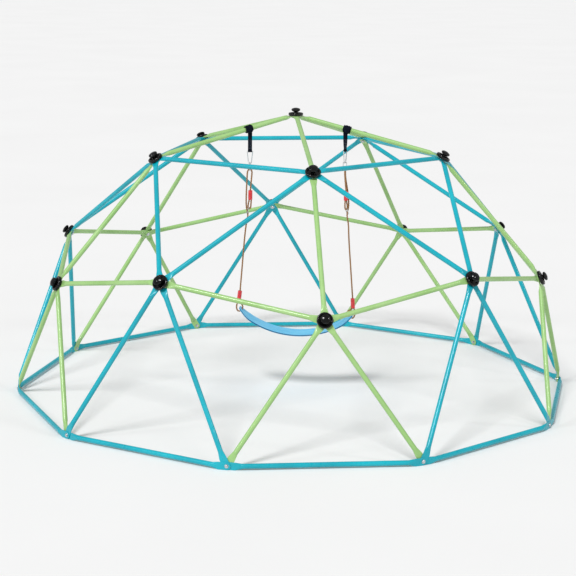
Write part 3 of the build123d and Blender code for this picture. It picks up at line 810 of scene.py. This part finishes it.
def wrap_stations(side, lift, width, slant, aside, fold):
    """One turn of strap round the tube: it stands off by lift and sags at the tail."""
    middle, axis, down, front = wrap_axes(side)
    stations = []
    for step in range(WRAP_STEPS):
        angle = 2 * pi * step / WRAP_STEPS
        sag = max(0.0, -cos(angle)) ** 3
        out = -down * cos(angle) + front * sin(angle)
        reach = TUBE_R + lift + WRAP_SAG * sag + WRAP_WAVE * sin(3 * angle + width / MM)
        place = middle + out * reach + axis * (aside + slant * WRAP_SLANT_R * sin(angle))
        band = axis + out.cross(axis) * slant * cos(angle)
        stations.append([*place, *band, width * (1 - WRAP_NARROWING * sag), fold])
    return stations


def tail_stations(side):
    """The doubled tail: down its front, round the ring's bar and up its back."""

    def layer(height, gap, width, fold):
        across = tail_face(side, height)
        facing = across.cross(Vector((0, 0, 1)))
        if facing.y > 0:
            facing = -facing
        place = Vector((HANG_X[side], SWING_Y, height)) + facing * gap
        return [*place, *across, width, fold]

    low = RING_BAR_Z
    eye = RING_WIRE_R + STRAP_T / 2 + 0.5 * MM
    downwards = [
        (SWING_Z - 0.0160, 1.6 * MM, TAIL_W, 0.2 * MM),
        (SWING_Z - 0.0200, 2.0 * MM, TAIL_W, 0.6 * MM),
        (SWING_Z - 0.0260, 2.2 * MM, TAIL_W + 1.2 * MM, 0.9 * MM),
        (SWING_Z - 0.0330, 1.7 * MM, TAIL_W + 0.8 * MM, 0.6 * MM),
        (SWING_Z - 0.0420, 1.25 * MM, TAIL_W, 0.3 * MM),
        (SWING_Z - 0.0540, 1.15 * MM, TAIL_W, 0.1 * MM),
        (SWING_Z - 0.0660, TAIL_GAP, TAIL_W, 0.0),
        (SWING_Z - 0.0800, TAIL_GAP, TAIL_W, 0.0),
        (low + 0.026, TAIL_GAP, TAIL_W, 0.0),
        (low + 0.016, TAIL_GAP, TAIL_W, 0.0),
        (low + 0.010, 1.5 * MM, TAIL_W, 0.0),
        (low + 0.004, eye, TAIL_W, 0.0),
        (low - 0.002, eye, TAIL_W, 0.0),
    ]
    stations = [layer(z, gap, w, f) for z, gap, w, f in downwards]
    stations.append(layer(low - eye - 0.4 * MM, 0.0, TAIL_W, 0.0))
    stations += [layer(z, -gap, w, f) for z, gap, w, f in reversed(downwards)]
    return stations


def sling(side):
    """One webbing sling: turns of strap round the tube, the tail and its stitching."""
    vertices, faces, uvs, index = [], [], [], []

    def take(part, material, part_uvs=None):
        part_vertices, part_faces = part
        base = len(vertices)
        vertices.extend(part_vertices)
        for face in part_faces:
            faces.append(tuple(base + k for k in face))
            index.append(material)
        uvs.extend(part_uvs or [(0, 0)] * sum(len(f) for f in part_faces))

    loops = [wrap_stations(side, *turn) for turn in WRAP_TURNS] + [tail_stations(side)]
    for seed, stations in enumerate(loops):
        part, part_uvs = strap_loop(smoothed(stations, 3), 1.7 * seed + len(side))
        take(part, 0, part_uvs)
    for row in STITCH_ROWS:
        height = SWING_Z - 0.062
        while height > RING_BAR_Z + 0.017:
            across = tail_face(side, height)
            facing = across.cross(Vector((0, 0, 1)))
            for way in (1, -1):
                lift = facing * way
                start = Vector((HANG_X[side], SWING_Y, height)) + across * row * TAIL_W
                start += lift * (TAIL_GAP + STRAP_T / 2)
                take(stitch(start, start - Vector((0, 0, STITCH_PITCH * STITCH_SHOWN)), lift), 1)
            height -= STITCH_PITCH
    for height in (SWING_Z - 0.060, RING_BAR_Z + 0.0155):
        across = tail_face(side, height)
        facing = across.cross(Vector((0, 0, 1)))
        for k in range(-2, 3):
            for way in (1, -1):
                lift = facing * way
                start = Vector((HANG_X[side], SWING_Y, height))
                start += across * (k * CROSS_PITCH - 1.3 * MM)
                start += lift * (TAIL_GAP + STRAP_T / 2)
                take(stitch(start, start + across * CROSS_STITCH, lift), 1)
    piece = new_piece(f"webbing_sling_{side}", vertices, faces, [WEBBING, THREAD], uvs, index)
    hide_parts(f"sling_wrap_{side}", f"sling_tail_{side}")
    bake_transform(piece)


for side in SIDES:
    sling(side)

# ---------------------------------------------------------------- seat
BELT_ARC = 495 * MM
BELT_END_ARC = 273 * MM
BELT_ARC_ANGLE = radians(27.5)
BELT_END_ANGLE = radians(47)
BELT_TIP = 16 * MM
BELT_HALF_W = 73.5 * MM
BELT_TIP_HALF_W = 27 * MM
BELT_SHOULDER = 74 * MM
BELT_T = 8 * MM
BELT_CORNER = 15 * MM
BELT_EASE = 0.10  # how far the shoulders swell over a straight taper
BELT_EDGE_R = 0.42 * BELT_T
BELT_RIM = 7 * MM  # width of the rim round the belt
BELT_RIM_RISE = 0.7 * MM
BELT_RIB_PITCH = 9 * MM
BELT_RIB_RISE = 0.35 * MM
BELT_TILT = radians(-2.9)
BELT_TURN = radians(8)
BELT_LOW = Vector((-0.003, SWING_Y, 0.334))
BELT_STATIONS = 241
BELT_ACROSS = 110
CROWDED_ALONG = 0.18  # how far the stations draw together towards the belt's ends
CROWDED_ACROSS = 0.45  # and the points across it towards its edges
SHADED_EDGE_FROM = 0.965  # the share of the half width where the deeper blue of the painted shade on the sides starts
HOLE_HALF_L = 10 * MM
HOLE_HALF_W = 6.5 * MM
COLLAR_MIDDLE, COLLAR_WIDTH = 1.36, 0.62  # in the hole's own radii
COLLAR_RISE = 0.9 * MM
COLLAR_CLEAR = 2.2  # the ribs stop this many radii from a hole
ARC_LENGTH = BELT_ARC * BELT_ARC_ANGLE
END_LENGTH = BELT_END_ARC * (BELT_END_ANGLE - BELT_ARC_ANGLE)
BELT_HALF_L = ARC_LENGTH + END_LENGTH + BELT_TIP


def belt_point(s):
    """Place on the belt's middle line at s along it, and the slope there."""
    reach = abs(s)
    slope = min(reach / BELT_ARC, BELT_ARC_ANGLE)
    x, z = BELT_ARC * sin(slope), BELT_ARC * (1 - cos(slope))
    if reach > ARC_LENGTH:
        slope = min(BELT_ARC_ANGLE + (reach - ARC_LENGTH) / BELT_END_ARC, BELT_END_ANGLE)
        x += BELT_END_ARC * (sin(slope) - sin(BELT_ARC_ANGLE))
        z += BELT_END_ARC * (cos(BELT_ARC_ANGLE) - cos(slope))
    straight = max(0.0, reach - ARC_LENGTH - END_LENGTH)
    x, z = x + straight * cos(slope), z + straight * sin(slope)
    way = 1 if s >= 0 else -1
    return Vector((way * x, 0, z)), way * slope


def belt_half_width(s):
    """The belt's outline: parallel, then tapered with eased shoulders, then round corners."""
    from_end = BELT_HALF_L - abs(s)
    share = min(1.0, from_end / BELT_SHOULDER)
    eased = share + BELT_EASE * sin(pi * share)
    half = BELT_TIP_HALF_W + (BELT_HALF_W - BELT_TIP_HALF_W) * min(1.0, eased)
    if from_end < BELT_CORNER:
        cut = BELT_CORNER - sqrt(BELT_CORNER**2 - (BELT_CORNER - from_end) ** 2)
        half -= cut
    return half


def bead(distance, middle, width, height):
    """A rounded raised line at some distance from an edge."""
    off = abs(distance - middle) / (width / 2)
    return height * sqrt(1 - off**2) if off < 1 else 0.0


def belt_surface(s, w, half, top):
    """How far the belt's skin stands from its middle sheet."""
    inset = half - abs(w)
    edge = min(inset, BELT_HALF_L - abs(s))
    round_share = min(1.0, edge / BELT_EDGE_R)
    thick = (BELT_T / 2 - BELT_RIM_RISE) * sqrt(max(0.0, 1 - (1 - round_share) ** 2))
    rim = bead(edge, BELT_RIM * 0.55, BELT_RIM, BELT_RIM_RISE)
    hole_at = ARC_LENGTH + END_LENGTH
    off = Vector(((abs(s) - hole_at) / HOLE_HALF_L, w / HOLE_HALF_W)).length
    collar = bead(off, COLLAR_MIDDLE, COLLAR_WIDTH, COLLAR_RISE)
    ribs = 0.0
    if edge > 2 * BELT_RIM and off > COLLAR_CLEAR and top:
        fade = min(1.0, (edge - 2 * BELT_RIM) / BELT_RIM)
        ribs = BELT_RIB_RISE * fade * (0.5 + 0.5 * cos(2 * pi * w / BELT_RIB_PITCH)) ** 2
    return thick + max(rim, collar) + ribs


def belt_seat():
    """The moulded belt: rim, ribs along it, collars round its rope holes."""
    vertices, faces, uvs, index = [], [], [], []
    section = 2 * BELT_ACROSS
    for i in range(BELT_STATIONS):
        even = 2 * i / (BELT_STATIONS - 1) - 1
        spread = -cos(pi * i / (BELT_STATIONS - 1))
        share = (1 - CROWDED_ALONG) * even + CROWDED_ALONG * spread
        s = share * (BELT_HALF_L - 0.2 * MM)
        middle, slope = belt_point(s)
        normal = Vector((-sin(slope), 0, cos(slope)))
        half = belt_half_width(s)
        for face in (1, -1):
            for k in range(BELT_ACROSS):
                even = (2 * k + 1) / BELT_ACROSS - 1
                spread = -cos(pi * (k + 0.5) / BELT_ACROSS)
                share = (1 - CROWDED_ACROSS) * even + CROWDED_ACROSS * spread
                w = share * half * face
                lift = belt_surface(s, w, half, face > 0) * face
                vertices.append(middle + normal * lift + Vector((0, w, 0)))
    faces = ring_faces(BELT_STATIONS, section)
    length = 2 * BELT_HALF_L / BELT_STATIONS
    uvs = ring_uvs(BELT_STATIONS, section, 4 * BELT_HALF_W, length)
    # the belt's rounded sides get the darker blue material, as painted shade
    for i in range(BELT_STATIONS - 1):
        for k in range(section):
            across = abs(2 * (k % BELT_ACROSS) + 1 - BELT_ACROSS) / BELT_ACROSS
            index.append(1 if across > SHADED_EDGE_FROM else 0)
    last = (BELT_STATIONS - 1) * section
    faces.append(tuple(range(section))[::-1])
    faces.append(tuple(range(last, last + section)))
    index += [1, 1]
    uvs += [(0, 0)] * (2 * section)
    turn = Matrix.Rotation(-BELT_TURN, 4, "Z") @ Matrix.Rotation(-BELT_TILT, 4, "Y")
    place = Matrix.Translation(BELT_LOW) @ turn
    placed = [place @ v for v in vertices]
    seat = new_piece("moulded_belt", placed, faces, [SEAT, SHADED_SEAT_EDGE], uvs, index)
    for way in (-1, 1):
        cut_hole(seat, place, way)
    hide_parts("belt_seat")
    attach(seat, "seat")


def cut_hole(seat, place, way):
    """A rope hole, rounded at both ends, through one end of the belt."""
    around = 40
    centre, slope = belt_point(way * (ARC_LENGTH + END_LENGTH))
    along = Vector((cos(slope), 0, sin(slope)))
    normal = Vector((-sin(slope), 0, cos(slope)))
    vertices = []
    for height in (-BELT_T * 1.5, BELT_T * 1.5):
        for k in range(around):
            angle = 2 * pi * k / around
            run = (HOLE_HALF_L - HOLE_HALF_W) * (1 if cos(angle) > 0 else -1)
            out = along * (run + HOLE_HALF_W * cos(angle))
            out += Vector((0, HOLE_HALF_W * sin(angle), 0))
            vertices.append(place @ (centre + out + normal * height))
    faces = ring_faces(2, around)
    faces.append(tuple(range(around))[::-1])
    faces.append(tuple(range(around, 2 * around)))
    cutter = new_piece("hole_cutter", vertices, faces, [SHADED_SEAT_EDGE])
    modifier = seat.modifiers.new("rope_hole", "BOOLEAN")
    modifier.operation = "DIFFERENCE"
    modifier.object = cutter
    modifier.solver = "EXACT"
    bpy.context.view_layer.update()
    bpy.context.view_layer.objects.active = seat
    bpy.ops.object.modifier_apply(modifier=modifier.name)
    bpy.data.objects.remove(cutter)


belt_seat()

# ---------------------------------------------------------------- studio
FLOOR_HALF = 400  # the floor reaches this far each way, in metres


def make_floor():
    """A wide pale floor that runs back to the horizon."""
    look = Look("studio_paper", Roughness=0.8)
    cloud = look.noise(0.6, 3.0)
    tint = look.colours(cloud, (0.3, (0.86, 0.86, 0.86)), (0.7, (0.88, 0.88, 0.88)))
    paper = look.finish(Base_Color=tint)
    ways = ((-1, -1), (1, -1), (1, 1), (-1, 1))
    corners = [(x * FLOOR_HALF, y * FLOOR_HALF, 0) for x, y in ways]
    floor = new_piece("studio_floor", corners, [(0, 1, 2, 3)], [paper])
    floor.location.z = -0.0005


def soft_sun(name, aim, strength, angle):
    """A broad lamp so far away that it lights the whole floor evenly."""
    data = bpy.data.lights.new(name, "SUN")
    data.energy = strength
    data.angle = radians(angle)
    light = bpy.data.objects.new(name, data)
    SCENE.collection.objects.link(light)
    light.matrix_world = Vector(aim).to_track_quat("-Z", "Y").to_matrix().to_4x4()


def make_studio():
    """A white room with one broad key light from above and two weaker ones from the front left and front right."""
    world = bpy.data.worlds.new("studio")
    SCENE.world = world
    world.use_nodes = True
    backdrop = world.node_tree.nodes["Background"]
    backdrop.inputs["Color"].default_value = (1.0, 1.0, 1.0, 1)
    backdrop.inputs["Strength"].default_value = 0.42
    soft_sun("key", (0.45, 0.80, -1.05), 2.1, 13)
    soft_sun("left", (0.90, 0.42, -0.60), 0.5, 10)
    soft_sun("right", (-0.85, 0.60, -0.75), 0.4, 10)
    SCENE.view_settings.view_transform = "Standard"


make_floor()
make_studio()
